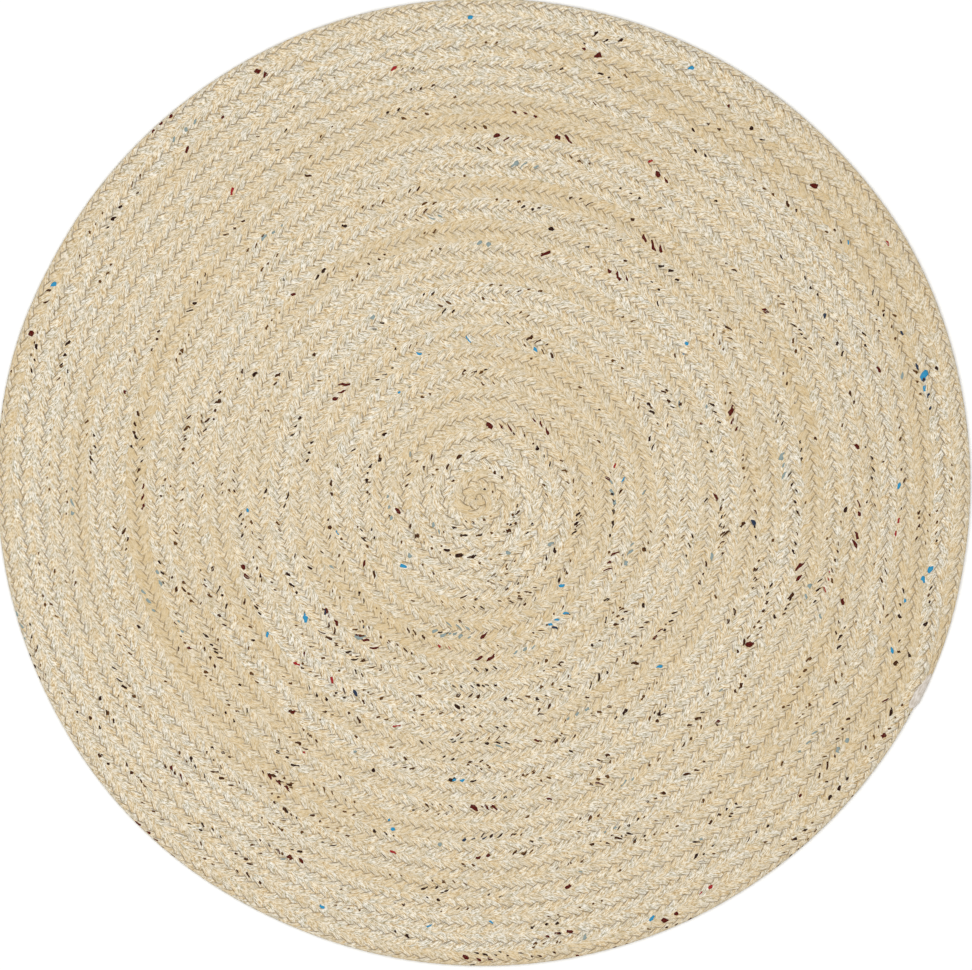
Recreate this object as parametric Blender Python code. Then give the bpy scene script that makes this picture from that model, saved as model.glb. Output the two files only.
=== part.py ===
"""Round jute rug: one three-strand plait, coiled from an eye and sewn to itself edge to edge.

Units are metres and +Z is up. The origin is the middle of the flat underside, on the floor,
with +Y towards the edge that is uppermost when the rug is seen from above.
The plait winds outwards clockwise, seen from above, and its tail tapers into the rim.
"""

from math import cos, floor, pi, radians, sin

import bmesh
import bpy

# Driving dimensions
RUG_RADIUS = 0.750
THICKNESS = 0.010
COURSES = 23.75            # times that the plait goes round, from the eye to its tail
RIM_ROLL = 0.0075          # the last course lies this much narrower, as its edge rolls down
EYE_X = -0.010             # the coil's eye lies a little off the middle of the rim
EYE_Y = -0.026
TAIL_ANGLE = radians(-27)  # where the tail ends, counter-clockwise from +X
TAIL_LENGTH = 0.22         # the stretch over which the plait narrows to its end
TAIL_STEP = 0.0045         # how far the cut end stands out of the rim
TAIL_FLATNESS = 0.55       # thickness of the cut end, as a share of THICKNESS

# Where the courses near the rim stop following an even coil and follow the rim instead
RIM_HOLD_COURSES = 7.0

# Section of one course, from its inner seam outwards: shares of its width and of its thickness
COURSE_SECTION = (
    # name            across  height
    ("inner seam", 0.00, 0.75),
    ("inner shoulder", 0.27, 1.00),
    ("outer shoulder", 0.73, 1.00),
)

# Section of the rim: how far in from the widest line, in metres, and the share of its thickness
RIM_SECTION = (
    # name    inset   height
    ("brow", 0.0040, 0.80),
    ("edge", 0.0000, 0.42),
    ("sole", 0.0035, 0.00),
)

# How far the rim stands out of a true circle, since the plait was laid by hand
RIM_LOBES = (
    # angle_deg  out_m
    (8.0, 0.0015),
    (29.0, 0.0031),
    (47.0, -0.0006),
    (68.0, -0.0024),
    (120.0, -0.0017),
    (150.0, 0.0000),
    (165.0, 0.0039),
    (201.0, 0.0017),
    (222.0, 0.0031),
    (250.0, -0.0022),
    (300.0, -0.0029),
    (333.0, 0.0000),
    (346.0, 0.0020),
)

STEPS_A_TURN = 72
EYE_STEPS = 18             # the eye's first quarter turn is one small cap
TURN = 2.0 * pi
TAIL_STEPS = round(COURSES * STEPS_A_TURN)

BLEACHED_JUTE = (0.665, 0.571, 0.402, 1.0)
JUTE_ROUGHNESS = 0.92


def ease(share):
    """Rise smoothly from 0 to 1 as the share does, flat outside that range."""
    share = min(max(share, 0.0), 1.0)
    return share * share * (3.0 - 2.0 * share)


def mix(low, high, share):
    return low + (high - low) * share


def rim_lobe(angle):
    """How far the rim stands out at an angle, eased from one row of RIM_LOBES to the next."""
    degrees = angle / radians(1.0) % 360.0
    last_angle, last_out = RIM_LOBES[-1]
    rows = ((last_angle - 360.0, last_out),) + RIM_LOBES
    first_angle, first_out = RIM_LOBES[0]
    rows += ((first_angle + 360.0, first_out),)
    for (start, out_start), (end, out_end) in zip(rows, rows[1:]):
        if start <= degrees < end:
            return mix(out_start, out_end, ease((degrees - start) / (end - start)))
    raise ValueError("the lobes leave out an angle")


def tail_ease(turns_to_go):
    """0 at the plait's cut end, and 1 from where it has its full width and thickness."""
    return ease(turns_to_go * TURN * RUG_RADIUS / TAIL_LENGTH)


def courses_outside(turns_to_go):
    """Courses between the rim and the seam that lies this many turns before the tail.

    Deep in the rug it falls evenly along the coil. Near the rim it holds at a whole number
    and gives way along the tail's taper, so that the rim stays round.
    """
    whole = floor(turns_to_go)
    along_the_rim = whole + tail_ease(turns_to_go - whole)
    return mix(turns_to_go, along_the_rim, ease(1.0 - turns_to_go / RIM_HOLD_COURSES))


def step_angle(step):
    return TAIL_ANGLE + TURN * (TAIL_STEPS - step) / STEPS_A_TURN


def turns_to_tail(step):
    return (TAIL_STEPS - step) / STEPS_A_TURN


def seam_radius(step):
    """Radius of the seam line, which runs on past the tail as the line of the rim."""
    if step >= TAIL_STEPS:
        return rim_radius(step)
    outside = courses_outside(turns_to_tail(step))
    unrolled = (RUG_RADIUS + RIM_ROLL) * (1.0 - outside / COURSES)
    return unrolled - RIM_ROLL * max(0.0, 1.0 - outside)


def rim_radius(step):
    """Radius of the rim outside the last course, stepping out at the cut end."""
    return RUG_RADIUS + TAIL_STEP * (1.0 - tail_ease(turns_to_tail(step - STEPS_A_TURN)))


def course_thickness(step):
    return THICKNESS * mix(TAIL_FLATNESS, 1.0, tail_ease(turns_to_tail(step)))


def place(angle, radius, height):
    """A point of the rug: the coil is centred on its eye inside, and on the origin at the rim."""
    share = radius / RUG_RADIUS
    off_middle = 1.0 - share**3
    lobed = radius + rim_lobe(angle) * share**4
    return (
        EYE_X * off_middle + lobed * cos(angle),
        EYE_Y * off_middle + lobed * sin(angle),
        height,
    )


def course_row(step, across, height):
    """One point of the course's section, between its two seams."""
    radius = mix(seam_radius(step), seam_radius(step + STEPS_A_TURN), across)
    return place(step_angle(step), radius, course_thickness(step) * height)


def rim_row(step, inset, height):
    """One point of the rim's section. The step is a turn on from that of its course."""
    thickness = course_thickness(step - STEPS_A_TURN)
    return place(step_angle(step), rim_radius(step) - inset, thickness * height)


def section_lines(bm):
    """Make the points of every line that runs along the plait, kept by name and step."""
    course_steps = range(EYE_STEPS, TAIL_STEPS + 1)
    rim_steps = range(TAIL_STEPS, TAIL_STEPS + STEPS_A_TURN + 1)
    lines = {}
    for name, across, height in COURSE_SECTION:
        lines[name] = {s: bm.verts.new(course_row(s, across, height)) for s in course_steps[:-1]}
    for name, inset, height in RIM_SECTION:
        lines[name] = {s: bm.verts.new(rim_row(s, inset, height)) for s in rim_steps}
    for name, across, height in COURSE_SECTION[1:]:
        lines[name][TAIL_STEPS] = bm.verts.new(course_row(TAIL_STEPS, across, height))
    lines["inner seam"].update(lines["brow"])
    return lines


def strip(bm, first_line, second_line, steps, second_shift=0):
    """Faces between two lines, the second read at a later step if it is a turn further out."""
    for step in steps:
        bm.faces.new((
            first_line[step],
            first_line[step + 1],
            second_line[step + 1 + second_shift],
            second_line[step + second_shift],
        ))


def cap_eye(bm, lines):
    """Close the small hole inside the first turn with a fan about its middle."""
    first_turn = range(EYE_STEPS, EYE_STEPS + STEPS_A_TURN + 1)
    loop = [lines["inner seam"][step] for step in first_turn]
    loop += [lines["outer shoulder"][EYE_STEPS], lines["inner shoulder"][EYE_STEPS]]
    middle = bm.verts.new((EYE_X, EYE_Y, THICKNESS))
    for start, end in zip(loop, loop[1:] + loop[:1]):
        bm.faces.new((middle, start, end))


def cap_tail(bm, lines):
    """Close the plait's cut end, which stands on the rim of the course before it."""
    start = TAIL_STEPS
    end = TAIL_STEPS + STEPS_A_TURN
    bm.faces.new((
        lines["brow"][start],
        lines["inner shoulder"][start],
        lines["outer shoulder"][start],
        lines["brow"][end],
        lines["edge"][end],
        lines["sole"][end],
        lines["sole"][start],
        lines["edge"][start],
    ))


def coiled_plait():
    bm = bmesh.new()
    lines = section_lines(bm)
    course_steps = range(EYE_STEPS, TAIL_STEPS)
    rim_steps = range(TAIL_STEPS, TAIL_STEPS + STEPS_A_TURN)
    strip(bm, lines["inner seam"], lines["inner shoulder"], course_steps)
    strip(bm, lines["inner shoulder"], lines["outer shoulder"], course_steps)
    strip(bm, lines["outer shoulder"], lines["inner seam"], course_steps, STEPS_A_TURN)
    strip(bm, lines["brow"], lines["edge"], rim_steps)
    strip(bm, lines["edge"], lines["sole"], rim_steps)
    cap_eye(bm, lines)
    cap_tail(bm, lines)
    bm.faces.new(list(lines["sole"].values()))
    bmesh.ops.recalc_face_normals(bm, faces=bm.faces)
    mesh = bpy.data.meshes.new("jute_plait_coil")
    bm.to_mesh(mesh)
    bm.free()
    mesh.shade_smooth()
    mesh.set_sharp_from_angle(angle=radians(50.0))
    return mesh


def jute_material():
    material = bpy.data.materials.new("bleached jute plait")
    material.use_nodes = True
    shader = material.node_tree.nodes["Principled BSDF"]
    shader.inputs["Base Color"].default_value = BLEACHED_JUTE
    shader.inputs["Roughness"].default_value = JUTE_ROUGHNESS
    shader.inputs["Metallic"].default_value = 0.0
    return material


def main():
    for thing in list(bpy.data.objects):
        bpy.data.objects.remove(thing)
    rug = bpy.data.objects.new("jute_plait_coil", coiled_plait())
    rug.data.materials.append(jute_material())
    bpy.context.scene.collection.objects.link(rug)


main()
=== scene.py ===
"""Looks of the round jute rug, laid out as a Blender add-on and run as a script.

Units are metres and +Z is up. The origin is the middle of the flat underside, on the floor.
The coil's sizes repeat those of the part's source, so that the strands lie on its ribs.
"""

import bpy
import numpy as np
from bpy.props import FloatProperty, FloatVectorProperty, IntProperty, PointerProperty
from bpy.types import NodeSocket, Operator, Panel, PropertyGroup
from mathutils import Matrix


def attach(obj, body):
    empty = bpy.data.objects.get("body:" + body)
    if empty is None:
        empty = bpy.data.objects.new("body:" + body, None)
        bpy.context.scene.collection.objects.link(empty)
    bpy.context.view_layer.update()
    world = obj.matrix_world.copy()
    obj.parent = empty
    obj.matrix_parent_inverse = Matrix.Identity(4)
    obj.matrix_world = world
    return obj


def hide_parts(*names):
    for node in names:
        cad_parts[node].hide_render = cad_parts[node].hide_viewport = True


bl_info = {
    "name": "Round Jute Rug",
    "version": (1, 0, 0),
    "blender": (4, 5, 0),
    "location": "3D View > Sidebar > Jute Rug",
    "description": "A coiled three-strand jute plait with coloured scraps, on a pale floor",
    "category": "Object",
}

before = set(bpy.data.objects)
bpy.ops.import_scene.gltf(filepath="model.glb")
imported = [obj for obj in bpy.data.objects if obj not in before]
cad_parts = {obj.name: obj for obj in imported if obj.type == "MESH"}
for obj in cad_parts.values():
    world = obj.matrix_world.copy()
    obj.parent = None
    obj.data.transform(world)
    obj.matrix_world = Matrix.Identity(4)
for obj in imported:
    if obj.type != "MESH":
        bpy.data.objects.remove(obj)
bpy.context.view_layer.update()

MM = 0.001
TURN = 2.0 * np.pi

# The coil, as the part's source has it
RUG_RADIUS = 0.750
THICKNESS = 0.010
COURSES = 23.75
RIM_ROLL = 0.0075
EYE_X = -0.010
EYE_Y = -0.026
TAIL_ANGLE = np.radians(-27.0)
TAIL_LENGTH = 0.22
TAIL_STEP = 0.0045
TAIL_FLATNESS = 0.55
RIM_HOLD_COURSES = 7.0
RIM_LOBES = (
    # angle_deg  out_m
    (8.0, 0.0015),
    (29.0, 0.0031),
    (47.0, -0.0006),
    (68.0, -0.0024),
    (120.0, -0.0017),
    (150.0, 0.0000),
    (165.0, 0.0039),
    (201.0, 0.0017),
    (222.0, 0.0031),
    (250.0, -0.0022),
    (300.0, -0.0029),
    (333.0, 0.0000),
    (346.0, 0.0020),
)

# How the plait lies in the coil
EYE_START = -0.90          # turns: the plait's start is curled up inside the eye
RIM_INNER_SHARE = 0.664    # of the rim course's width, which lies inside its middle line
RIM_SINK = 0.20            # how much lower the rolled edge of the rim lies, as a share
TABLE_STEPS_A_TURN = 720

# How long a tooth of the plait is, as a share of those at the eye: it was pulled tighter inside
TOOTH_SHARES = (
    # course  share
    (0.0, 1.00),
    (3.0, 0.98),
    (4.5, 0.86),
    (6.3, 0.78),
    (10.3, 0.78),
    (11.5, 0.84),
    (17.0, 0.85),
    (18.0, 0.93),
    (20.5, 0.96),
    (22.0, 1.02),
    (23.8, 1.04),
)

# Stretches of the plait, each a mesh of its own, as shares of its whole length
STRETCHES = (
    # name                 start  end
    ("jute_plait_eye", 0.00, 0.20),
    ("jute_plait_inner", 0.20, 0.40),
    ("jute_plait_middle", 0.40, 0.60),
    ("jute_plait_outer", 0.60, 0.80),
    ("jute_plait_rim", 0.80, 1.00),
)

# A strand's way from the plait's middle out to its edge on top and back underneath, which it
# then repeats on the other side: shares of the swing, of the rise and of the strand's half width,
# which is not the same on the side towards the middle as on the side towards the edge
STRAND_PATH = (
    # phase_deg  out    up     roll   inner  outer
    (0.0, 0.00, -0.25, 0.30, 0.95, 0.95),
    (25.0, 0.27, 0.62, 0.12, 1.00, 1.25),
    (60.0, 0.59, 0.98, 0.00, 1.08, 1.42),
    (100.0, 0.86, 0.92, -0.03, 1.12, 1.35),
    (130.0, 0.98, 0.78, -0.06, 1.15, 1.25),
    (150.0, 1.00, 0.40, -0.05, 1.12, 1.25),
    (165.0, 0.62, -0.50, 0.00, 0.90, 1.20),
    (180.0, 0.00, -0.25, 0.30, 0.95, 0.95),
)
CORNER_DEGREES = 25        # over which the corners of that way are rounded

# Section of a strand, from under its inner edge over the top: shares of its half width and height
STRAND_SECTION = np.array((
    # across  up
    (-0.75, -0.80),
    (-1.00, 0.05),
    (-0.94, 0.76),
    (-0.58, 0.97),
    (0.58, 0.97),
    (0.94, 0.76),
    (1.00, 0.05),
    (0.75, -0.80),
))
SIDES = len(STRAND_SECTION)
SHOWING = STRAND_SECTION[1:-1]   # the part of that section that can be seen from above

# How unevenly the strands lie: seed, how much, and the spacing in strand periods
UNEVEN = {
    # what        seed  much  periods
    "phase": (7, 0.45, 4.0),
    "swing": (11, 0.04, 0.37),
    "rise": (21, 0.10, 0.41),
    "fullness": (31, 0.06, 0.50),
}
YARN_TONE = (41, 0.42, 5.0)      # seed, most ochre, and the spacing in strand periods
BATCH_TONE = (51, 0.40, 0.38)    # seed, most ochre, and the spacing in metres

# Painted shade in the crevices beside a strand: how dark it is across its section, and how near
# the plait's middle line that begins to fade and ends, in millimetres
PAINTED_CREVICE_SHADE_ACROSS = ((0.58, 0.94, 1.00), (0.0, 0.8, 1.0))
PAINTED_CREVICE_SHADE_REACH = (1.5, 6.5)
PAINTED_CREVICE_SHADE_SEED = 61
PAINTED_CREVICE_SHADE_PERIODS = 0.8
FAINTEST_PAINTED_CREVICE_SHADE = 0.65

# Scraps of dyed rag that were spun into the jute
SCRAP_COLOURS = (
    # name       colour
    ("oxblood", "#521009"),
    ("scarlet", "#9C2226"),
    ("sky_blue", "#2E8DB8"),
    ("navy", "#27344A"),
    ("faded_blue", "#8B9A98"),
    ("walnut", "#2A1008"),
    ("umber", "#43230C"),
    ("fawn", "#5C3A18"),
)

# The scraps that show best, placed one by one: to the nearest 5 mm on the rug, sizes in
# millimetres
BEST_SCRAPS = (
    # colour       x     y  length  width
    ("sky_blue", 680, 165, 15, 8),
    ("navy", 670, 180, 8, 4),
    ("sky_blue", 680, 145, 8, 5),
    ("navy", 645, 230, 8, 4),
    ("sky_blue", 690, -135, 12, 7),
    ("sky_blue", 680, -150, 9, 6),
    ("sky_blue", 650, -185, 8, 5),
    ("sky_blue", 630, -260, 9, 4),
    ("sky_blue", 315, 210, 11, 7),
    ("sky_blue", 320, 640, 8, 4),
    ("sky_blue", 80, 205, 8, 5),
    ("sky_blue", 215, 5, 9, 5),
    ("sky_blue", -25, 220, 9, 5),
    ("sky_blue", -100, 200, 7, 4),
    ("sky_blue", -130, 140, 7, 4),
    ("sky_blue", -20, 720, 9, 5),
    ("sky_blue", -665, 305, 10, 6),
    ("sky_blue", -365, -40, 8, 5),
    ("sky_blue", -125, -130, 8, 6),
    ("sky_blue", -275, -210, 11, 7),
    ("sky_blue", -335, -235, 7, 4),
    ("navy", -245, -200, 8, 4),
    ("navy", -200, -325, 10, 6),
    ("sky_blue", -145, -535, 13, 6),
    ("sky_blue", -250, -655, 8, 5),
    ("sky_blue", -85, -685, 8, 4),
    ("sky_blue", 270, -285, 9, 5),
    ("sky_blue", 120, -160, 7, 5),
    ("sky_blue", 260, -675, 9, 5),
    ("navy", 110, -225, 8, 5),
    ("oxblood", 160, 670, 10, 6),
    ("oxblood", 175, 660, 9, 7),
    ("oxblood", 380, 580, 9, 5),
    ("oxblood", 510, 460, 10, 8),
    ("scarlet", 255, 495, 9, 5),
    ("scarlet", 625, 370, 8, 4),
    ("oxblood", 95, 355, 12, 7),
    ("walnut", 105, 390, 9, 6),
    ("oxblood", 435, 265, 11, 6),
    ("oxblood", 610, 175, 9, 5),
    ("oxblood", 575, 55, 9, 5),
    ("oxblood", -350, 635, 10, 6),
    ("oxblood", -400, 565, 10, 4),
    ("oxblood", -460, 515, 9, 5),
    ("oxblood", -700, 230, 8, 6),
    ("scarlet", -390, 450, 9, 5),
    ("scarlet", -140, 640, 9, 4),
    ("oxblood", -290, 295, 9, 5),
    ("oxblood", -295, -355, 9, 5),
    ("scarlet", -280, -415, 8, 4),
    ("scarlet", -290, -280, 8, 5),
    ("oxblood", -510, -475, 9, 5),
    ("walnut", -50, -460, 11, 6),
    ("scarlet", -140, -570, 9, 4),
    ("oxblood", 410, -250, 10, 8),
    ("oxblood", 555, -185, 10, 6),
    ("oxblood", 360, -370, 8, 5),
    ("oxblood", 130, -625, 8, 5),
    ("walnut", 630, -355, 12, 4),
)

# The smaller scraps, batch by batch: where in the coil, how many, and their usual size
SCRAP_BATCHES = (
    # colour    first_course  last_course  count  length  width
    ("oxblood", 1.2, 12.0, 32, 8.5, 4.6),
    ("oxblood", 12.0, 20.0, 42, 8.5, 4.6),
    ("oxblood", 20.0, 23.4, 22, 8.5, 4.6),
    ("scarlet", 5.0, 23.4, 12, 6.0, 3.2),
    ("sky_blue", 5.0, 8.0, 4, 7.0, 4.0),
    ("sky_blue", 9.0, 14.0, 2, 7.0, 4.0),
    ("sky_blue", 20.5, 23.4, 3, 7.0, 4.0),
    ("navy", 3.0, 23.4, 8, 6.5, 3.6),
    ("faded_blue", 2.0, 5.6, 9, 7.5, 4.2),
    ("faded_blue", 5.6, 8.0, 20, 7.5, 4.2),
    ("faded_blue", 8.0, 15.5, 30, 7.5, 4.2),
    ("faded_blue", 15.5, 23.4, 28, 7.5, 4.2),
    ("walnut", 0.4, 5.6, 40, 6.0, 3.3),
    ("walnut", 5.6, 7.8, 18, 6.0, 3.3),
    ("walnut", 7.8, 15.5, 170, 5.6, 3.2),
    ("walnut", 15.5, 23.4, 170, 5.6, 3.2),
    ("umber", 0.4, 5.6, 40, 5.8, 3.1),
    ("umber", 5.6, 7.8, 18, 5.8, 3.1),
    ("umber", 7.8, 15.5, 160, 5.8, 3.1),
    ("umber", 15.5, 23.4, 150, 5.8, 3.1),
    ("fawn", 0.4, 5.6, 90, 4.4, 2.6),
    ("fawn", 5.6, 7.8, 36, 4.4, 2.6),
    ("fawn", 7.8, 15.5, 330, 4.4, 2.6),
    ("fawn", 15.5, 23.4, 300, 4.4, 2.6),
)
SCRAP_SEED = 61
ON_TOP_DEGREES = (35.0, 125.0)   # of its phase, over which a strand shows on one side
DENSEST_TOWARDS = np.radians(285.0)  # where in the rug most of the scraps lie
LONGEST_RUN = 3            # teeth in a row that show the same scrap
SCRAP_ROWS = 4
SCRAP_COLUMNS = 3
SCRAP_LIFT = 0.30 * MM     # how far a scrap stands proud of its strand
SCRAP_DEPTH = 0.40 * MM    # how far it reaches into it
SCRAP_SIZES = (0.5, 0.8, 1.9)    # least, usual and most, as shares of the batch's size
RUN_JITTER = 0.06          # of a strand period, by which the scraps of a run lie out of step

# The pressed end of the tail, which lies over the rim: how far before the plait's end, how far
# its inner and outer edges stand out of the rim's line, and its thickness, in millimetres
TAIL_WRAP = (
    # to_go  inner  outer  height
    (50.0, 0.5, 3.0, 6.0),
    (44.0, -3.0, 4.2, 8.8),
    (36.0, -5.5, 3.8, 9.5),
    (26.0, -8.0, 4.6, 9.8),
    (14.0, -10.5, 4.0, 10.0),
    (4.0, -11.0, 4.4, 10.0),
    (-6.0, -10.0, 3.0, 9.8),
    (-11.0, -8.5, 0.0, 9.2),
    (-13.0, -6.0, -2.5, 7.5),
)
TAIL_WRAP_STEP = 2.0       # between its rings
TAIL_PUCKER = (71, 0.05, 6.0 * MM)   # seed, how much, and the spacing
TAIL_FIBRE_STEP = 2.5 * MM  # across its section, for the streaks
TAIL_WRAP_SECTION = np.array((
    # from inner to outer edge, share of the thickness
    (0.10, 0.45),
    (0.00, 0.80),
    (0.15, 0.96),
    (0.45, 1.00),
    (0.78, 0.92),
    (0.95, 0.70),
    (1.00, 0.40),
    (0.90, 0.08),
))

# Loose fibres that lie on the strands
STRAY_SEED = 62
STRAY_FIBRES = 2600
STRAY_LENGTH = (8.0 * MM, 22.0 * MM)
STRAY_RADIUS = 0.32 * MM   # three times as coarse as jute, so that it shows
STRAY_ARCH = 0.9 * MM      # how high its middle stands off the strand
STRAY_RINGS = 4
STRAY_SIDES = 4


def linear(hex_colour):
    """Turn an sRGB hex colour into the linear RGBA that Blender's sockets take."""
    srgb = np.array([int(hex_colour[i:i + 2], 16) for i in (1, 3, 5)]) / 255.0
    rgb = np.where(srgb <= 0.04045, srgb / 12.92, ((srgb + 0.055) / 1.055) ** 2.4)
    return (*rgb.tolist(), 1.0)


def ease(share):
    """Rise smoothly from 0 to 1 as the share does, flat outside that range."""
    share = np.clip(share, 0.0, 1.0)
    return share * share * (3.0 - 2.0 * share)


def mix(low, high, share):
    return low + (high - low) * share


# ---- the coil


def rim_lobe(angle):
    """How far the rim stands out at these angles, eased from one row of RIM_LOBES to the next."""
    rows = np.array(RIM_LOBES[-1:] + RIM_LOBES + RIM_LOBES[:1])
    rows[0, 0] -= 360.0
    rows[-1, 0] += 360.0
    degrees = np.degrees(angle) % 360.0
    row = np.searchsorted(rows[:, 0], degrees, side="right") - 1
    share = (degrees - rows[row, 0]) / (rows[row + 1, 0] - rows[row, 0])
    return mix(rows[row, 1], rows[row + 1, 1], ease(share))


def tail_ease(turns_to_go):
    """0 at the plait's cut end, and 1 from where it has its full width and thickness."""
    return ease(turns_to_go * TURN * RUG_RADIUS / TAIL_LENGTH)


def seam_radius(turns):
    """Radius of the seam line this many turns from the eye, which runs on as the rim's line."""
    to_go = np.clip(COURSES - turns, 0.0, COURSES)
    whole = np.floor(to_go)
    along_the_rim = whole + tail_ease(to_go - whole)
    outside = mix(to_go, along_the_rim, ease(1.0 - to_go / RIM_HOLD_COURSES))
    seam = (RUG_RADIUS + RIM_ROLL) * (1.0 - outside / COURSES)
    seam -= RIM_ROLL * np.maximum(0.0, 1.0 - outside)
    rim = RUG_RADIUS + TAIL_STEP * (1.0 - tail_ease(COURSES + 1.0 - turns))
    return np.where(turns >= COURSES, rim, seam)


def place(angle, radius, height):
    """Points of the rug: the coil is centred on its eye inside, and on the origin at the rim."""
    share = radius / RUG_RADIUS
    off_middle = 1.0 - share**3
    lobed = radius + rim_lobe(angle) * share**4
    return np.stack((
        EYE_X * off_middle + lobed * np.cos(angle),
        EYE_Y * off_middle + lobed * np.sin(angle),
        height + 0.0 * radius,
    ), axis=-1)


def on_the_coil(turns, across, height):
    """Points of the coiled plait, from the share across its course and the height on the floor."""
    exposed = 1.0 - tail_ease(COURSES - 1.0 - turns)
    over_edge = np.pi * np.clip(across - 0.5, 0.0, 0.55)
    rolled = np.where(
        across < 0.5,
        2.0 * RIM_INNER_SHARE * across,
        RIM_INNER_SHARE + (1.0 - RIM_INNER_SHARE) * np.sin(over_edge),
    )
    across = mix(across, rolled, exposed)
    sunk = 1.0 - RIM_SINK * exposed * (1.0 - np.cos(over_edge))
    flat = mix(TAIL_FLATNESS, 1.0, tail_ease(COURSES - turns))
    radius = mix(seam_radius(turns), seam_radius(turns + 1.0), across)
    return place(TAIL_ANGLE + TURN * (COURSES - turns), radius, height * sunk * flat)


def tooth_share(turns):
    """How long a tooth is this many turns from the eye, as a share of those at the eye."""
    courses, shares = np.array(TOOTH_SHARES).T
    return np.interp(turns, courses, shares)


def coil_table():
    """Turns along the coil, the plait's length and loose length up to each, and its points."""
    steps = round((COURSES - EYE_START) * TABLE_STEPS_A_TURN)
    turns = np.linspace(EYE_START, COURSES, steps + 1)
    line = on_the_coil(turns, 0.5, 0.0)
    spans = np.linalg.norm(np.diff(line, axis=0), axis=1)
    lengths = np.concatenate(((0.0,), np.cumsum(spans)))
    loose = np.concatenate(((0.0,), np.cumsum(spans / tooth_share(turns[1:]))))
    return turns, lengths, loose, line


# Loose lengths are those that the plait would have, were it all as loose as at the eye
COIL_TURNS, COIL_LENGTHS, LOOSE_LENGTHS, COIL_LINE = coil_table()
PLAIT_LENGTH = float(COIL_LENGTHS[-1])


def plait_to_world(along, out, up, half_course):
    """Points of the rug from places in the plait: along it, out from its middle line, and up."""
    turns = np.interp(along, COIL_LENGTHS, COIL_TURNS)
    return on_the_coil(turns, 0.5 + 0.5 * out / half_course, up)


# ---- the strands


def wander(seed, along, spacing):
    """A smooth random line from -1 to 1 along the plait, with a new value at each spacing."""
    count = int(PLAIT_LENGTH / spacing) + 4
    values = np.random.default_rng(seed).uniform(-1.0, 1.0, count)
    position = np.clip(along, 0.0, PLAIT_LENGTH) / spacing
    cell = np.floor(position).astype(int)
    return mix(values[cell], values[cell + 1], ease(position - cell))


def strand_wave(first_column, second_column, second_sign=1.0):
    """A value for each degree of a period, from a column of STRAND_PATH for each half of it."""
    rows = np.array(STRAND_PATH)
    first = np.interp(np.arange(180), rows[:, 0], rows[:, first_column])
    second = np.interp(np.arange(180), rows[:, 0], rows[:, second_column])
    full = np.concatenate((first, second_sign * second))
    window = np.hanning(CORNER_DEGREES + 2)
    return np.convolve(np.tile(full, 3), window / window.sum(), "same")[360:721]


WAVES = {
    "out": strand_wave(1, 1, -1.0),
    "up": strand_wave(2, 2),
    "roll": strand_wave(3, 3, -1.0),
    "left": strand_wave(4, 5),
    "right": strand_wave(5, 4),
}


def uneven(what, sizes, along, strand=0):
    """How far one thing about a strand strays from its usual value along the plait."""
    seed, much, periods = UNEVEN[what]
    return much * wander(seed + strand, along, periods * sizes.strand_period)


def at_phase(wave, phase):
    return np.interp(np.degrees(phase) % 360.0, np.arange(361), WAVES[wave])


def strand_line(sizes, strand, along):
    """A strand's middle line: its phase in the plait, how far out and how high it lies."""
    loose = np.interp(along, COIL_LENGTHS, LOOSE_LENGTHS)
    phase = TURN * (loose / sizes.strand_period + strand / 3.0)
    phase = phase + uneven("phase", sizes, along)
    swing = sizes.swing * (1.0 + uneven("swing", sizes, along, strand))
    rise = sizes.rise * (1.0 + uneven("rise", sizes, along, strand))
    return phase, swing * at_phase("out", phase), 0.5 * THICKNESS + rise * at_phase("up", phase)


def strand_length(sizes, strand, along):
    """How long a strand is between these lengths of the plait, when it is drawn out straight."""
    _, out, up = strand_line(sizes, strand, along)
    return float(np.sqrt(np.diff(along)**2 + np.diff(out)**2 + np.diff(up)**2).sum())


def strand_tone(sizes, strand, along):
    """How ochre a strand is: its own yarn changes every quarter metre, the batch more slowly."""
    seed, most, periods = YARN_TONE
    own = 0.5 + 0.5 * wander(seed + strand, along, periods * sizes.strand_period)
    batch_seed, batch_most, spacing = BATCH_TONE
    batch = 0.5 + 0.5 * wander(batch_seed, along, spacing)
    return most * own**2 + batch_most * batch**2


def strand_surface(sizes, strand, along, across, high):
    """Points of a strand's skin, in the plait: at these lengths and shares of its section."""
    step = 0.2 * MM
    phase, out, up = strand_line(sizes, strand, along)
    _, out_before, _ = strand_line(sizes, strand, along - step)
    _, out_after, _ = strand_line(sizes, strand, along + step)
    slope = (out_after - out_before) / (2.0 * step)
    fullness = 1.0 + uneven("fullness", sizes, along, strand)
    width_share = np.where(across < 0.0, at_phase("left", phase), at_phase("right", phase))
    tightness = np.sqrt(tooth_share(np.interp(along, COIL_LENGTHS, COIL_TURNS)))
    half_width = 0.5 * sizes.strand_width * tightness * fullness * width_share
    to_side = across * half_width / np.sqrt(1.0 + slope**2)
    up = up + high * 0.5 * sizes.strand_thickness + across * sizes.rise * at_phase("roll", phase)
    return along - slope * to_side, out + to_side, up


def tube_quads(rows):
    """Quads of a closed tube of so many rings of SIDES points: its skin, then its two ends."""
    row, side = np.meshgrid(np.arange(rows - 1), np.arange(SIDES), indexing="ij")
    next_side = (side + 1) % SIDES
    skin = np.stack((
        row * SIDES + side,
        row * SIDES + next_side,
        (row + 1) * SIDES + next_side,
        (row + 1) * SIDES + side,
    ), axis=-1).reshape(-1, 4)
    start = np.array(((0, 7, 4, 3), (3, 2, 1, 0), (7, 6, 5, 4)))
    finish = start[:, ::-1] + (rows - 1) * SIDES
    return np.concatenate((skin, start, finish))


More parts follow.
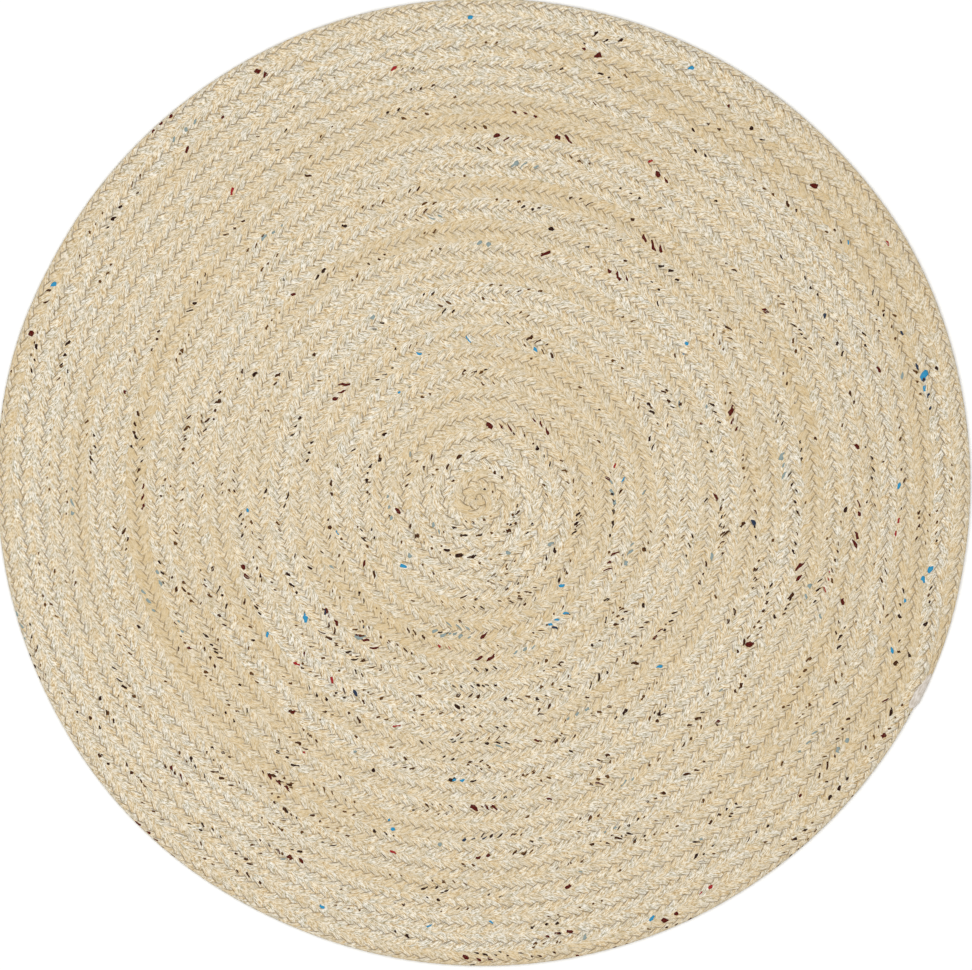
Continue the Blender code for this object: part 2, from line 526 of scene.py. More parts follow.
def painted_crevice_shade(sizes, strand, along, across, out):
    """How much shade is painted on each point of a strand: at its sides, near the plait's middle,
    as if deep in a crevice.
    """
    at_side = np.interp(np.abs(across), *PAINTED_CREVICE_SHADE_ACROSS)
    begin, end = PAINTED_CREVICE_SHADE_REACH
    near_middle = 1.0 - ease((np.abs(out) / MM - begin) / (end - begin))
    painted_shade_share = 0.5 + 0.5 * wander(PAINTED_CREVICE_SHADE_SEED + strand, along, PAINTED_CREVICE_SHADE_PERIODS * sizes.strand_period)
    return (at_side * near_middle * mix(FAINTEST_PAINTED_CREVICE_SHADE, 1.0, painted_shade_share**1.5)).ravel()


def strand_mesh_arrays(sizes, strand, along):
    """Vertices, quads, fibre places and painted crevice shade of one closed strand between two
    lengths.
    """
    ring = STRAND_SECTION[None, :, :]
    lengths = along[:, None] + np.zeros((1, SIDES))
    plait_along, out, up = strand_surface(sizes, strand, lengths, ring[..., 0], ring[..., 1])
    points = plait_to_world(plait_along, out, up, sizes.half_course)
    row, side = np.meshgrid(np.arange(len(along) - 1), np.arange(SIDES), indexing="ij")
    half = np.array((0.5 * sizes.strand_width, 0.5 * sizes.strand_thickness))
    loop = np.concatenate((STRAND_SECTION, STRAND_SECTION[:1])) * half
    spans = np.linalg.norm(np.diff(loop, axis=0), axis=1)
    around = np.concatenate(((0.0,), np.cumsum(spans)))
    fibres = np.stack([
        np.stack((along[row + later], around[side + beside]), axis=-1)
        for later, beside in ((0, 0), (0, 1), (1, 1), (1, 0))
    ], axis=-2).reshape(-1, 4, 2)
    quads = tube_quads(len(along))
    ends = quads[row.size:]
    end_fibres = np.zeros((len(ends), 4, 2))
    end_fibres[..., 0] = np.where(ends < SIDES, along[0], along[-1])
    end_fibres[..., 1] = around[ends % SIDES]
    fibres = np.concatenate((fibres, end_fibres))
    fibres[..., 1] += strand * 0.1
    # painted shade for the crevices beside the strands, as a value on each point
    crevice_shade = painted_crevice_shade(sizes, strand, lengths, ring[..., 0], out)
    return points.reshape(-1, 3), quads, fibres, crevice_shade, around[-1]


def nearest_on_top(sizes, x, y):
    """The strand, the length along it and the share across it that show at this place."""
    nearest = np.linalg.norm(COIL_LINE[:, :2] - (x, y), axis=1).argmin()
    along, across = np.meshgrid(
        COIL_LENGTHS[nearest] + np.linspace(-0.3, 0.3, 61) * sizes.strand_period,
        np.linspace(-0.5, 0.5, 5), indexing="ij")
    best = (np.inf, 0, 0.0, 0.0)
    for strand in range(3):
        surface = strand_surface(sizes, strand, along, across, np.ones_like(across))
        places = plait_to_world(*surface, sizes.half_course)
        miss = np.linalg.norm(places[..., :2] - (x, y), axis=-1) + (THICKNESS - places[..., 2])
        index = miss.argmin()
        best = min(best, (miss.flat[index], strand, along.flat[index], across.flat[index]))
    return best[1:]


def scattered_on_top(sizes, random, first_course, last_course, count, longest_run=1):
    """Random strands, lengths along them and shares across them, where these show.

    Some start a run, which goes on at the same place of the next teeth on that side.
    """
    draws = 12 * count
    strand = random.integers(0, 3, draws)
    ends = np.interp((first_course, last_course), COIL_TURNS, COIL_LENGTHS)
    along = random.uniform(*ends, draws)
    across = random.uniform(-0.55, 0.55, draws)
    phases = np.stack([strand_line(sizes, number, along)[0] for number in range(3)])
    phase = np.degrees(phases[strand, np.arange(draws)]) % 180.0
    angle = TAIL_ANGLE + TURN * (COURSES - np.interp(along, COIL_LENGTHS, COIL_TURNS))
    chance = 0.65 + 0.35 * np.cos(angle - DENSEST_TOWARDS)
    shows = (phase > ON_TOP_DEGREES[0]) & (phase < ON_TOP_DEGREES[1])
    chosen = np.flatnonzero(shows & (random.uniform(0.0, 1.0, draws) < chance))[:count]
    run = random.integers(1, longest_run + 1, len(chosen))
    chosen, run = np.repeat(chosen, run), np.concatenate([np.arange(length) for length in run])
    chosen, run = chosen[:count], run[:count]
    loose = np.interp(along[chosen], COIL_LENGTHS, LOOSE_LENGTHS)
    jitter = random.uniform(-RUN_JITTER, RUN_JITTER, len(run)) * (run > 0)
    loose += sizes.strand_period * (run / 3.0 + jitter)
    along = np.interp(loose, LOOSE_LENGTHS, COIL_LENGTHS)
    across = np.clip(across[chosen] + random.uniform(-0.35, 0.35, len(run)), -0.7, 0.7)
    return list(zip((strand[chosen] - run) % 3, along, across))


def patch_quads(rows, columns):
    """Quads of a thin closed patch: its top, its underside and the edge that joins them."""
    top = np.arange(rows * columns).reshape(rows, columns)
    cells = np.stack((top[:-1, :-1], top[1:, :-1], top[1:, 1:], top[:-1, 1:]), -1).reshape(-1, 4)
    loop = np.concatenate((top[:-1, 0], top[-1, :-1], top[:0:-1, -1], top[0, :0:-1]))
    ahead = np.roll(loop, -1)
    edge = np.stack((loop + top.size, ahead + top.size, ahead, loop), axis=-1)
    return np.concatenate((cells, cells[:, ::-1] + top.size, edge))


def torn_edges(random):
    """How far a scrap's points stand out from its middle, as shares of half its width."""
    edges = random.uniform(0.30, 1.25, (SCRAP_ROWS, SCRAP_COLUMNS))
    edges[[0, -1]] *= random.uniform(0.15, 0.95, (2, 1))
    return edges


def scrap_points(sizes, strand, along, across, length, width, torn):
    """Points of a scrap's top and underside: a ragged patch that lies on its strand."""
    lengthwise = np.linspace(-1.0, 1.0, SCRAP_ROWS)[:, None]
    crosswise = np.linspace(-1.0, 1.0, SCRAP_COLUMNS)[None, :]
    lengths = along + 0.5 * length * lengthwise + 0.0 * crosswise
    shares = across + crosswise * torn * width / sizes.strand_width
    shares = np.clip(shares, -0.95, 0.95)
    skin = np.interp(shares, SHOWING[:, 0], SHOWING[:, 1])
    half_thick = 0.5 * sizes.strand_thickness
    layers = [strand_surface(sizes, strand, lengths, shares, skin + offset / half_thick)
              for offset in (SCRAP_LIFT, -SCRAP_DEPTH)]
    return np.concatenate([plait_to_world(*layer, sizes.half_course).reshape(-1, 3)
                           for layer in layers])


def stray_points(sizes, strand, along, across, length, lean):
    """Points of a loose fibre: a thin square tube that arches over its strand."""
    lengthwise = np.linspace(-1.0, 1.0, STRAY_RINGS)[:, None]
    turn = TURN * np.arange(STRAY_SIDES) / STRAY_SIDES
    taper = 1.0 - 0.6 * np.abs(lengthwise)
    share_radius = 2.0 * STRAY_RADIUS / sizes.strand_width
    high_radius = 2.0 * STRAY_RADIUS / sizes.strand_thickness
    shares = across + lean * lengthwise + share_radius * taper * np.cos(turn)
    arch = STRAY_ARCH * (1.0 - 1.4 * lengthwise**2) / (0.5 * sizes.strand_thickness)
    skin = np.interp(shares, SHOWING[:, 0], SHOWING[:, 1])
    lengths = along + 0.5 * length * lengthwise + 0.0 * turn
    surface = strand_surface(
        sizes, strand, lengths, shares, skin + arch + high_radius * taper * np.sin(turn))
    return plait_to_world(*surface, sizes.half_course).reshape(-1, 3)


def stray_quads():
    """Quads of a loose fibre: its four sides and its two ends."""
    ring, side = np.meshgrid(np.arange(STRAY_RINGS - 1), np.arange(STRAY_SIDES), indexing="ij")
    next_side = (side + 1) % STRAY_SIDES
    this, ahead = ring * STRAY_SIDES, (ring + 1) * STRAY_SIDES
    sides = np.stack((this + side, ahead + side, ahead + next_side, this + next_side), axis=-1)
    last = STRAY_SIDES * (STRAY_RINGS - 1)
    ends = ((0, 1, 2, 3), (last + 3, last + 2, last + 1, last))
    return np.concatenate((sides.reshape(-1, 4), ends))


def stray_uv_maps(quads_each, lengths, shifts):
    """Fibre places of the loose fibres' corners, and a cell of the unit square for each fibre."""
    ring = np.arange(STRAY_RINGS * STRAY_SIDES) // STRAY_SIDES / (STRAY_RINGS - 1.0)
    side = np.arange(STRAY_RINGS * STRAY_SIDES) % STRAY_SIDES
    fibre = np.stack((ring, side * STRAY_RADIUS), axis=-1)[quads_each][None]
    size = np.stack((lengths, np.ones_like(lengths)), axis=-1)[:, None, None]
    in_cell = np.stack((0.05 + 0.9 * ring, 0.1 + 0.25 * side), axis=-1)
    return {
        "fibres": (fibre * size + shifts).reshape(-1, 4, 2),
        "OFBake": in_cells(len(lengths), in_cell[quads_each]),
    }


def in_cells(count, places):
    """Lay copies of these places of a quad's corners out in the cells of the unit square."""
    cells = int(np.ceil(np.sqrt(count)))
    number = np.arange(count)
    corner = np.stack((number % cells, number // cells), axis=-1)[:, None, None]
    return ((corner + places[None]) / cells).reshape(-1, 4, 2)


def scrap_uv_maps(count, quads_each, lengths, widths):
    """Cloth places of a scrap's corners, and a cell of the unit square for each scrap."""
    point = np.arange(2 * SCRAP_ROWS * SCRAP_COLUMNS)
    row = point // SCRAP_COLUMNS % SCRAP_ROWS / (SCRAP_ROWS - 1.0)
    column = point % SCRAP_COLUMNS / (SCRAP_COLUMNS - 1.0)
    under = point // (SCRAP_ROWS * SCRAP_COLUMNS)
    number = np.arange(count)
    in_cell = np.stack((0.05 + 0.4 * column + 0.5 * under, 0.05 + 0.9 * row), axis=-1)
    cloth = np.stack((row, column), axis=-1)[quads_each][None]
    size = np.stack((lengths, widths), axis=-1)[:, None, None, :]
    shift = 0.037 * np.stack((number, number // 7), axis=-1)[:, None, None]
    return {
        "fibres": (cloth * size + shift).reshape(-1, 4, 2),
        "OFBake": in_cells(count, in_cell[quads_each]),
    }


def bake_places(fibres, rows_a_strand, row_length, girth, first_row, total_rows):
    """Lay a strand's skin out in rows on the unit square, one above the other."""
    start = fibres[..., 0].min()
    middle = fibres[..., 0].mean(axis=1) - start
    row = np.clip(np.floor(middle / row_length), 0, rows_a_strand - 1)[:, None]
    x = (fibres[..., 0] - start - row * row_length) / row_length
    y = (first_row + row + (fibres[..., 1] - fibres[..., 1].min()) / girth * 0.94) / total_rows
    return np.stack((np.clip(0.002 + 0.996 * x, 0.0, 1.0), y + 0.02 / total_rows), axis=-1)


def quad_object(name, points, quads, uv_maps, marks):
    """A mesh object made of quads, with its UV maps and per-point marks."""
    mesh = bpy.data.meshes.new(name)
    mesh.vertices.add(len(points))
    mesh.vertices.foreach_set("co", points.astype(np.float32).ravel())
    mesh.loops.add(quads.size)
    mesh.loops.foreach_set("vertex_index", quads.astype(np.int32).ravel())
    mesh.polygons.add(len(quads))
    mesh.polygons.foreach_set("loop_start", np.arange(0, quads.size, 4, dtype=np.int32))
    for uv_name, places in uv_maps.items():
        layer = mesh.uv_layers.new(name=uv_name, do_init=False)
        layer.uv.foreach_set("vector", places.astype(np.float32).ravel())
    for mark_name, values in marks.items():
        attribute = mesh.attributes.new(mark_name, "FLOAT", "POINT")
        attribute.data.foreach_set("value", values.astype(np.float32))
    mesh.update(calc_edges=True)
    mesh.shade_smooth()
    piece = bpy.data.objects.new(name, mesh)
    bpy.context.scene.collection.objects.link(piece)
    return piece


def dress_rug(piece, material):
    """Give a piece its material, and let it stand on the rug in place of the plain solid."""
    piece.data.materials.append(material)
    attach(piece, "root")
    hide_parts("jute_plait_coil")


# ---- materials


def add_node(tree, kind, inputs=None, **settings):
    """Add a node with its settings, and set or link its inputs."""
    node = tree.nodes.new(kind)
    for name, value in settings.items():
        setattr(node, name, value)
    for name, value in (inputs or {}).items():
        if isinstance(value, NodeSocket):
            tree.links.new(value, node.inputs[name])
        else:
            node.inputs[name].default_value = value
    return node


def bleached_jute(finish):
    """Bleached jute yarn, plaited by hand: matt cream fibres, streaked with straw, ochre and grey.
    Shade is painted dark brown into the crevices beside the strands, near the plait's middle.

    The streaks are drawn about three times as coarse as single jute fibres, so that they show.
    """
    material = bpy.data.materials.new("bleached jute, hand plaited")
    material.use_nodes = True
    tree = material.node_tree
    shader = tree.nodes["Principled BSDF"]
    skin = add_node(tree, "ShaderNodeUVMap", uv_map="fibres")
    noises = {}
    for name, length, width, detail in (
        ("fibre", finish.fibre_length, finish.fibre_width, 2.0),
        ("lock", 2.0 * finish.fibre_length, 2.5 * finish.fibre_width, 1.0),
        ("batch", finish.batch_length, 0.3 * finish.batch_length, 2.0),
        ("bark", 1.6 * finish.bark_size, finish.bark_size, 1.0),
    ):
        stretched = add_node(tree, "ShaderNodeMapping", {
            "Vector": skin.outputs["UV"], "Scale": (1.0 / length, 1.0 / width, 1.0),
        })
        noises[name] = add_node(tree, "ShaderNodeTexNoise", {
            "Vector": stretched.outputs["Vector"], "Scale": 1.0, "Detail": detail,
            "Roughness": 0.6,
        }, noise_dimensions="2D")
    streaks = add_node(tree, "ShaderNodeMix", {
        "Factor": 0.30, "A": noises["fibre"].outputs["Fac"], "B": noises["lock"].outputs["Fac"],
    })
    lightness = add_node(tree, "ShaderNodeMapRange", {
        "Value": streaks.outputs["Result"], "From Min": 0.36, "From Max": 0.60,
    })
    yarn = add_node(tree, "ShaderNodeMix", {
        "Factor": lightness.outputs["Result"], "A": finish.straw, "B": finish.cream,
    }, data_type="RGBA")
    is_warm = add_node(tree, "ShaderNodeMapRange", {
        "Value": noises["batch"].outputs["Fac"], "From Min": 0.36, "From Max": 0.64,
    })
    tint = add_node(tree, "ShaderNodeMix", {
        "Factor": is_warm.outputs["Result"], "A": finish.cool_tint, "B": finish.warm_tint,
    }, data_type="RGBA")
    uneven = add_node(tree, "ShaderNodeMix", {
        "Factor": finish.batch_contrast,
        "A": yarn.outputs["Result"], "B": tint.outputs["Result"],
    }, data_type="RGBA", blend_type="OVERLAY")
    tone = add_node(tree, "ShaderNodeAttribute", attribute_name="tone")
    toned = add_node(tree, "ShaderNodeMix", {
        "Factor": tone.outputs["Fac"], "A": uneven.outputs["Result"], "B": finish.ochre,
    }, data_type="RGBA")
    # painted shade: the crevices beside the strands are darkened towards a dark brown, by the
    # crevice mark
    crevice_shade = add_node(tree, "ShaderNodeAttribute", attribute_name="crevice_shade")
    shaded = add_node(tree, "ShaderNodeMath", {
        0: crevice_shade.outputs["Fac"], 1: finish.crevice_shade_strength,
    }, operation="MULTIPLY")
    shaded_yarn = add_node(tree, "ShaderNodeMix", {
        "Factor": shaded.outputs["Value"], "A": toned.outputs["Result"], "B": finish.crevice_shade,
    }, data_type="RGBA")
    is_bark = add_node(tree, "ShaderNodeMapRange", {
        "Value": noises["bark"].outputs["Fac"], "From Min": 0.70, "From Max": 0.76,
        "To Min": 0.0, "To Max": 0.6,
    })
    flecked = add_node(tree, "ShaderNodeMix", {
        "Factor": is_bark.outputs["Result"], "A": shaded_yarn.outputs["Result"], "B": finish.bark,
    }, data_type="RGBA")
    bump = add_node(tree, "ShaderNodeBump", {
        "Height": streaks.outputs["Result"], "Strength": 0.7, "Distance": 0.9 * MM,
    })
    tree.links.new(flecked.outputs["Result"], shader.inputs["Base Color"])
    tree.links.new(bump.outputs["Normal"], shader.inputs["Normal"])
    shader.inputs["Roughness"].default_value = 0.75
    shader.inputs["Specular IOR Level"].default_value = 0.25
    shader.inputs["Metallic"].default_value = 0.0
    return material


def streaked(name, streak, shows, shades, relief, roughness, specular):
    """A matt material of fibres that all run one way, with streaks along them.

    The streaks have a length and a width, a range of the noise over which they come to show and
    the most that they do, the ground's shade and their own, and a strength and depth of relief.
    """
    material = bpy.data.materials.new(name)
    material.use_nodes = True
    tree = material.node_tree
    shader = tree.nodes["Principled BSDF"]
    skin = add_node(tree, "ShaderNodeUVMap", uv_map="fibres")
    stretched = add_node(tree, "ShaderNodeMapping", {
        "Vector": skin.outputs["UV"], "Scale": (1.0 / streak[0], 1.0 / streak[1], 1.0),
    })
    fibre = add_node(tree, "ShaderNodeTexNoise", {
        "Vector": stretched.outputs["Vector"], "Scale": 1.0, "Detail": 2.0,
    }, noise_dimensions="2D")
    share = add_node(tree, "ShaderNodeMapRange", {
        "Value": fibre.outputs["Fac"], "From Min": shows[0], "From Max": shows[1],
        "To Min": 0.0, "To Max": shows[2],
    })
    colour = add_node(tree, "ShaderNodeMix", {
        "Factor": share.outputs["Result"], "A": shades[0], "B": shades[1],
    }, data_type="RGBA")
    bump = add_node(tree, "ShaderNodeBump", {
        "Height": fibre.outputs["Fac"], "Strength": relief[0], "Distance": relief[1],
    })
    tree.links.new(colour.outputs["Result"], shader.inputs["Base Color"])
    tree.links.new(bump.outputs["Normal"], shader.inputs["Normal"])
    shader.inputs["Roughness"].default_value = roughness
    shader.inputs["Specular IOR Level"].default_value = specular
    return material


def dyed_rag(name, hex_colour):
    """Scraps of dyed cotton rag, torn small and spun in: matt, with paler worn threads."""
    return streaked(
        f"dyed cotton rag, {name.replace('_', ' ')}, torn",
        (3.0 * MM, 0.8 * MM), (0.55, 0.75, 0.18), (linear(hex_colour), linear("#B9AC93")),
        (0.5, 0.3 * MM), roughness=0.85, specular=0.1)


def pressed_jute(finish):
    """Jute fibre at the cut end, combed out and pressed flat: smooth, pale and a little lilac."""
    return streaked(
        "bleached jute, combed and pressed flat",
        (2.0 * finish.fibre_length, finish.fibre_width / 0.6), (0.35, 0.65, 1.0),
        (linear("#BDB2A4"), finish.pressed), (0.4, 0.5 * MM), roughness=0.7, specular=0.5)


def painted_floor(studio):
    """A plain pale studio floor, painted matt."""
    material = bpy.data.materials.new("matt painted studio floor")
    material.use_nodes = True
    tree = material.node_tree
    shader = tree.nodes["Principled BSDF"]
    shader.inputs["Base Color"].default_value = studio.floor_colour
    shader.inputs["Roughness"].default_value = 0.9
    return material


# ---- sizes and colours


class PlaitSizes(PropertyGroup):
    strand_period: FloatProperty(
        name="Strand Period", description="Length of plait in which a strand comes back",
        default=54.9 * MM, unit="LENGTH")
    strand_width: FloatProperty(
        name="Strand Width", description="Width of a flattened strand",
        default=12.6 * MM, unit="LENGTH")
    strand_thickness: FloatProperty(
        name="Strand Thickness", description="Thickness of a flattened strand",
        default=4.8 * MM, unit="LENGTH")
    swing: FloatProperty(
        name="Swing", description="How far a strand swings out from the plait's middle line",
        default=12.3 * MM, unit="LENGTH")
    rise: FloatProperty(
        name="Rise", description="How far a strand rises over the one that it crosses",
        default=1.8 * MM, unit="LENGTH")
    half_course: FloatProperty(
        name="Half Course", description="Half of the flat plait's width",
        default=15.95 * MM, unit="LENGTH")
    samples: IntProperty(
        name="Samples", description="Rings of points in a strand period", default=13)


class JuteFinish(PropertyGroup):
    cream: FloatVectorProperty(
        name="Cream", description="Bleached fibre", size=4, subtype="COLOR",
        default=linear("#F3EDE0"))
    straw: FloatVectorProperty(
        name="Straw", description="Less bleached fibre between", size=4, subtype="COLOR",
        default=linear("#9F8D62"))
    warm_tint: FloatVectorProperty(
        name="Warm Tint", description="What warms one dye lot", size=4, subtype="COLOR",
        default=linear("#D2B592"))
    cool_tint: FloatVectorProperty(
        name="Cool Tint", description="What cools another dye lot", size=4, subtype="COLOR",
        default=linear("#AEBAC2"))
    ochre: FloatVectorProperty(
        name="Ochre", description="Unbleached stretches", size=4, subtype="COLOR",
        default=linear("#CDB486"))
    # colour of the shade painted into the crevices between the strands
    crevice_shade: FloatVectorProperty(
        name="Crevice", description="Deep between the strands", size=4, subtype="COLOR",
        default=linear("#4E2E08"))
    bark: FloatVectorProperty(
        name="Bark", description="Bits of bark left in the fibre", size=4, subtype="COLOR",
        default=linear("#77664B"))
    pressed: FloatVectorProperty(
        name="Pressed", description="Pressed fibre of the tail's end", size=4, subtype="COLOR",
        default=linear("#DCD4CA"))
    bark_size: FloatProperty(
        name="Bark Size", description="Size of the bits of bark", default=1.8 * MM,
        unit="LENGTH")
    # how strongly the shade is painted into the crevices
    crevice_shade_strength: FloatProperty(
        name="Crevice Depth", description="How strongly the crevices are tinted", default=1.0)
    batch_length: FloatProperty(
        name="Batch Length", description="Length of a patch of one dye lot",
        default=24.0 * MM, unit="LENGTH")
    batch_contrast: FloatProperty(
        name="Batch Contrast", description="How much the dye lots differ", default=0.50)
    fibre_width: FloatProperty(
        name="Fibre Width", description="Width of a visible streak", default=1.1 * MM,
        unit="LENGTH")
    fibre_length: FloatProperty(
        name="Fibre Length", description="Length of a visible streak", default=4.5 * MM,
        unit="LENGTH")


class StudioSettings(PropertyGroup):
    floor_colour: FloatVectorProperty(
        name="Floor", description="Colour of the floor", size=4, subtype="COLOR",
        default=linear("#FBFBFA"))
    dome_light: FloatProperty(
        name="Dome Light", description="Even light from all around", default=0.50)
    softbox_power: FloatProperty(
        name="Softbox Power", description="Power of the softbox overhead", default=110.0,
        unit="POWER")
    camera_height: FloatProperty(
        name="Camera Height", description="Height of the camera", default=6.0, unit="LENGTH")
    camera_x: FloatProperty(
        name="Camera X", description="Where the camera stands", default=0.0029, unit="LENGTH")
    camera_y: FloatProperty(
        name="Camera Y", description="Where the camera stands", default=-0.0042, unit="LENGTH")
    floor_width: FloatProperty(
        name="Floor Width", description="Width of the floor", default=16.0, unit="LENGTH")
    softbox_width: FloatProperty(
        name="Softbox Width", description="Width of the softbox", default=3.5, unit="LENGTH")
    softbox_place: FloatVectorProperty(
        name="Softbox Place", description="Where the softbox hangs", size=3,
        subtype="TRANSLATION", default=(-0.3, -0.1, 3.6))
    view_width: FloatProperty(
        name="View Width", description="Width of floor that the photograph takes in",
        default=1.5018, unit="LENGTH")


# ---- operators


class RUG_OT_lay_plait(Operator):
    """Lay the three-strand plait along the coil, in stretches, in place of the plain solid"""

    bl_idname = "jute_rug.lay_plait"
    bl_label = "Lay Plait"

    def execute(self, context):
        sizes = context.scene.rug_plait
        jute = bleached_jute(context.scene.rug_jute)
        rings = int(LOOSE_LENGTHS[-1] / sizes.strand_period * sizes.samples)
        for name, start, end in STRETCHES:
            loose = np.arange(round(start * rings), round(end * rings) + 1) / rings
            along = np.interp(loose * LOOSE_LENGTHS[-1], LOOSE_LENGTHS, COIL_LENGTHS)
            self.lay_stretch(name, along, sizes, jute)
        return {"FINISHED"}

    def lay_stretch(self, name, along, sizes, jute):
        points, quads, fibres, crevice_shades, bakes, tones = [], [], [], [], [], []
        count = 0
        length = along[-1] - along[0]
        for strand in range(3):
            skin = strand_mesh_arrays(sizes, strand, along)
            girth = skin[4]
            rows = max(1, round(np.sqrt(length / girth / 3.0)))
            points.append(skin[0])
            quads.append(skin[1] + count)
            fibres.append(skin[2])
            crevice_shades.append(skin[3])
            bakes.append(bake_places(skin[2], rows, length / rows, girth, strand * rows, 3 * rows))
            tones.append(np.repeat(strand_tone(sizes, strand, along), SIDES))
            count += len(skin[0])
        piece = quad_object(
            name, np.concatenate(points), np.concatenate(quads),
            {"fibres": np.concatenate(fibres), "OFBake": np.concatenate(bakes)},
            # the crevice mark is shade painted into the crevices between the strands; the tone
            # mark is the yarn's own ochre
            {"crevice_shade": np.concatenate(crevice_shades), "tone": np.concatenate(tones)},
        )
        dress_rug(piece, jute)
        before_plaiting = sum(strand_length(sizes, strand, along) for strand in range(3)) / 3.0


class RUG_OT_press_tail(Operator):
    """Press the end of the tail flat, as one smooth tuft of combed fibre"""

    bl_idname = "jute_rug.press_tail"
    bl_label = "Press Tail"

    def execute(self, context):
        rows = np.array(TAIL_WRAP)
        to_go = np.arange(rows[0, 0], rows[-1, 0], -TAIL_WRAP_STEP)
        inner, outer, height = (
            np.interp(-to_go, -rows[:, 0], rows[:, column])[:, None] * MM for column in (1, 2, 3))
        share, rise = TAIL_WRAP_SECTION.T
        lengths = PLAIT_LENGTH - to_go[:, None] * MM
        seed, much, spacing = TAIL_PUCKER
        puckered = 1.0 + much * wander(seed, lengths, spacing)
        angle = TAIL_ANGLE + to_go[:, None] * MM / RUG_RADIUS
        radius = RUG_RADIUS + mix(inner, outer * puckered, share)
        points = place(angle, radius, height * rise).reshape(-1, 3)
        quads = tube_quads(len(to_go))
        places = np.stack((
            np.repeat(lengths[:, 0], SIDES),
            np.tile(np.arange(SIDES) * TAIL_FIBRE_STEP, len(to_go)),
        ), axis=-1)
        piece = quad_object("pressed_tail_end", points, quads, {"fibres": places[quads]}, {})
        dress_rug(piece, pressed_jute(context.scene.rug_jute))
        return {"FINISHED"}


class RUG_OT_add_scraps(Operator):
    """Lay the scraps of dyed rag on the strands, an object for each colour"""

    bl_idname = "jute_rug.add_scraps"
    bl_label = "Add Scraps"

    def execute(self, context):
        sizes = context.scene.rug_plait
        random = np.random.default_rng(SCRAP_SEED)
        scraps = {name: [] for name, _ in SCRAP_COLOURS}
        for name, x, y, length, width in BEST_SCRAPS:
            spot = nearest_on_top(sizes, x * MM, y * MM)
            scraps[name].append((*spot, length * MM, width * MM, torn_edges(random)))
        for name, first_course, last_course, count, length, width in SCRAP_BATCHES:
            for spot in scattered_on_top(
                    sizes, random, first_course, last_course, count, LONGEST_RUN):
                long, wide = MM * random.triangular(*SCRAP_SIZES, 2)
                scraps[name].append((*spot, length * long, width * wide, torn_edges(random)))
        for name, hex_colour in SCRAP_COLOURS:
            self.lay_colour(name, hex_colour, sizes, scraps[name])
        return {"FINISHED"}

    def lay_colour(self, name, hex_colour, sizes, scraps):
        quads_each = patch_quads(SCRAP_ROWS, SCRAP_COLUMNS)
        points = np.concatenate([scrap_points(sizes, *scrap) for scrap in scraps])
        first_point = np.arange(len(scraps))[:, None, None] * (2 * SCRAP_ROWS * SCRAP_COLUMNS)
        quads = (quads_each[None] + first_point).reshape(-1, 4)
        lengths = np.array([scrap[3] for scrap in scraps])
        widths = np.array([scrap[4] for scrap in scraps])
        uv_maps = scrap_uv_maps(len(scraps), quads_each, lengths, widths)
        piece = quad_object(f"{name}_scraps", points, quads, uv_maps, {})
        dress_rug(piece, dyed_rag(name, hex_colour))


class RUG_OT_add_stray_fibres(Operator):
    """Lay the loose fibres on the strands, where they have come out of the yarn"""

    bl_idname = "jute_rug.add_stray_fibres"
    bl_label = "Add Stray Fibres"

    def execute(self, context):
        sizes = context.scene.rug_plait
        random = np.random.default_rng(STRAY_SEED)
        spots = scattered_on_top(sizes, random, 0.2, COURSES - 0.1, STRAY_FIBRES)
        lengths = random.uniform(*STRAY_LENGTH, len(spots))
        leans = random.uniform(-0.5, 0.5, len(spots))
        points = np.concatenate([
            stray_points(sizes, *spot, length, lean)
            for spot, length, lean in zip(spots, lengths, leans)])
        quads_each = stray_quads()
        first_point = np.arange(len(spots))[:, None, None] * (STRAY_RINGS * STRAY_SIDES)
        quads = (quads_each[None] + first_point).reshape(-1, 4)
        shifts = random.uniform(0.0, 1.0, (len(spots), 1, 1, 2))
        uv_maps = stray_uv_maps(quads_each, lengths, shifts)
        piece = quad_object("stray_fibres", points, quads, uv_maps, {})
        dress_rug(piece, bleached_jute(context.scene.rug_jute))
        return {"FINISHED"}


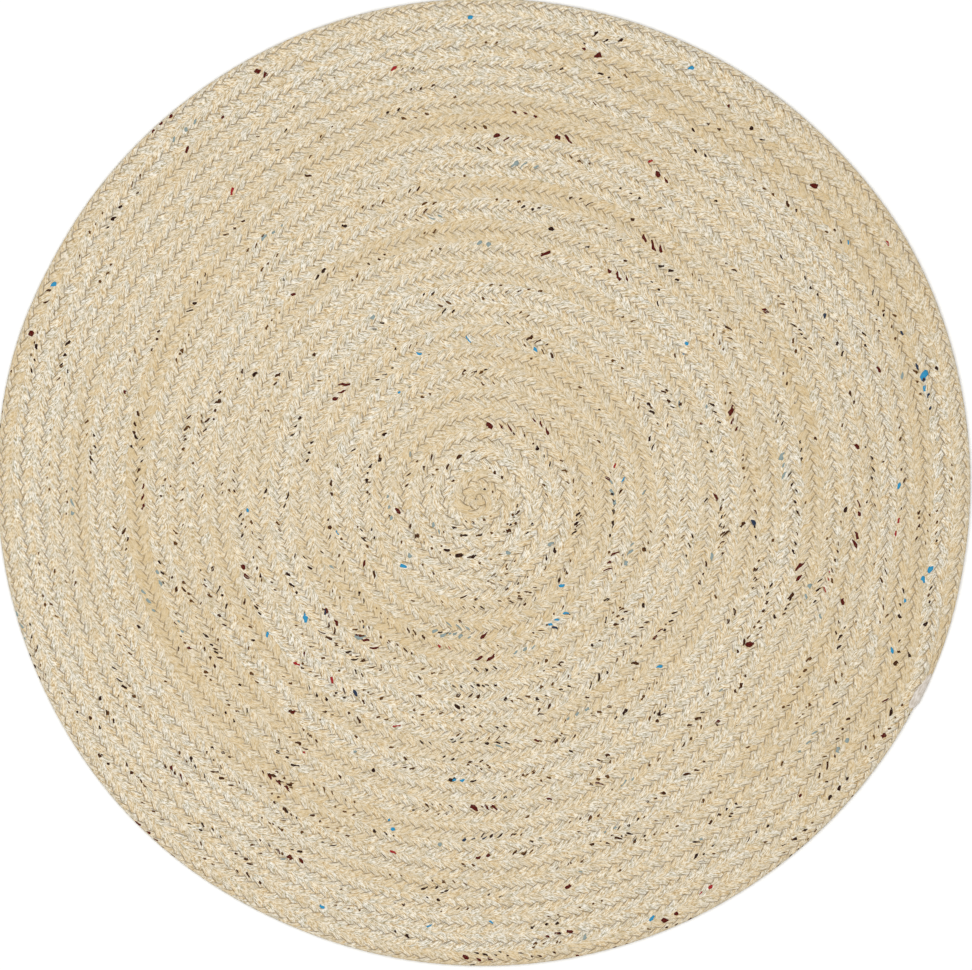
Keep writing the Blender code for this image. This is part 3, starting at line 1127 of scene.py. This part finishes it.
class RUG_OT_set_stage(Operator):
    """Set the pale floor, the soft studio light and the camera straight above the rug"""

    bl_idname = "jute_rug.set_stage"
    bl_label = "Set Stage"

    def execute(self, context):
        studio = context.scene.rug_studio
        self.lay_floor(studio)
        self.light(context, studio)
        self.set_camera(context, studio)
        return {"FINISHED"}

    def lay_floor(self, studio):
        bpy.ops.mesh.primitive_plane_add(size=studio.floor_width)
        floor = bpy.context.active_object
        floor.name = "studio_floor"
        floor.data.materials.append(painted_floor(studio))

    def light(self, context, studio):
        world = bpy.data.worlds.new("even studio light")
        world.use_nodes = True
        background = world.node_tree.nodes["Background"]
        background.inputs["Color"].default_value = (1.0, 1.0, 1.0, 1.0)
        background.inputs["Strength"].default_value = studio.dome_light
        context.scene.world = world
        softbox = bpy.data.lights.new("softbox overhead", "AREA")
        softbox.size = studio.softbox_width
        softbox.energy = studio.softbox_power
        lamp = bpy.data.objects.new("softbox_overhead", softbox)
        lamp.location = studio.softbox_place
        context.scene.collection.objects.link(lamp)

    def set_camera(self, context, studio):
        lens = bpy.data.cameras.new("camera overhead")
        lens.lens = lens.sensor_width * (studio.camera_height - THICKNESS) / studio.view_width
        camera = bpy.data.objects.new("camera_overhead", lens)
        camera.location = (studio.camera_x, studio.camera_y, studio.camera_height)
        context.scene.collection.objects.link(camera)
        context.scene.camera = camera
        context.scene.view_settings.view_transform = "Standard"


class RUG_PT_panel(Panel):
    """Lists the rug's sizes, colours and making steps"""

    bl_idname = "RUG_PT_panel"
    bl_label = "Jute Rug"
    bl_space_type = "VIEW_3D"
    bl_region_type = "UI"
    bl_category = "Jute Rug"

    def draw(self, context):
        layout = self.layout
        for group in (context.scene.rug_plait, context.scene.rug_jute, context.scene.rug_studio):
            box = layout.box()
            for name in group.bl_rna.properties.keys():
                if name not in ("rna_type", "name"):
                    box.prop(group, name)
        for operator in OPERATORS:
            layout.operator(operator.bl_idname)


GROUPS = {"rug_plait": PlaitSizes, "rug_jute": JuteFinish, "rug_studio": StudioSettings}
OPERATORS = (
    RUG_OT_lay_plait,
    RUG_OT_press_tail,
    RUG_OT_add_scraps,
    RUG_OT_add_stray_fibres,
    RUG_OT_set_stage,
)


def register():
    for name, group in GROUPS.items():
        bpy.utils.register_class(group)
        setattr(bpy.types.Scene, name, PointerProperty(type=group))
    for operator in OPERATORS:
        bpy.utils.register_class(operator)
    bpy.utils.register_class(RUG_PT_panel)


def unregister():
    bpy.utils.unregister_class(RUG_PT_panel)
    for operator in reversed(OPERATORS):
        bpy.utils.unregister_class(operator)
    for name, group in reversed(GROUPS.items()):
        delattr(bpy.types.Scene, name)
        bpy.utils.unregister_class(group)


def main():
    register()
    bpy.ops.jute_rug.lay_plait()
    bpy.ops.jute_rug.press_tail()
    bpy.ops.jute_rug.add_scraps()
    bpy.ops.jute_rug.add_stray_fibres()
    bpy.ops.jute_rug.set_stage()


if __name__ == "__main__":
    main()
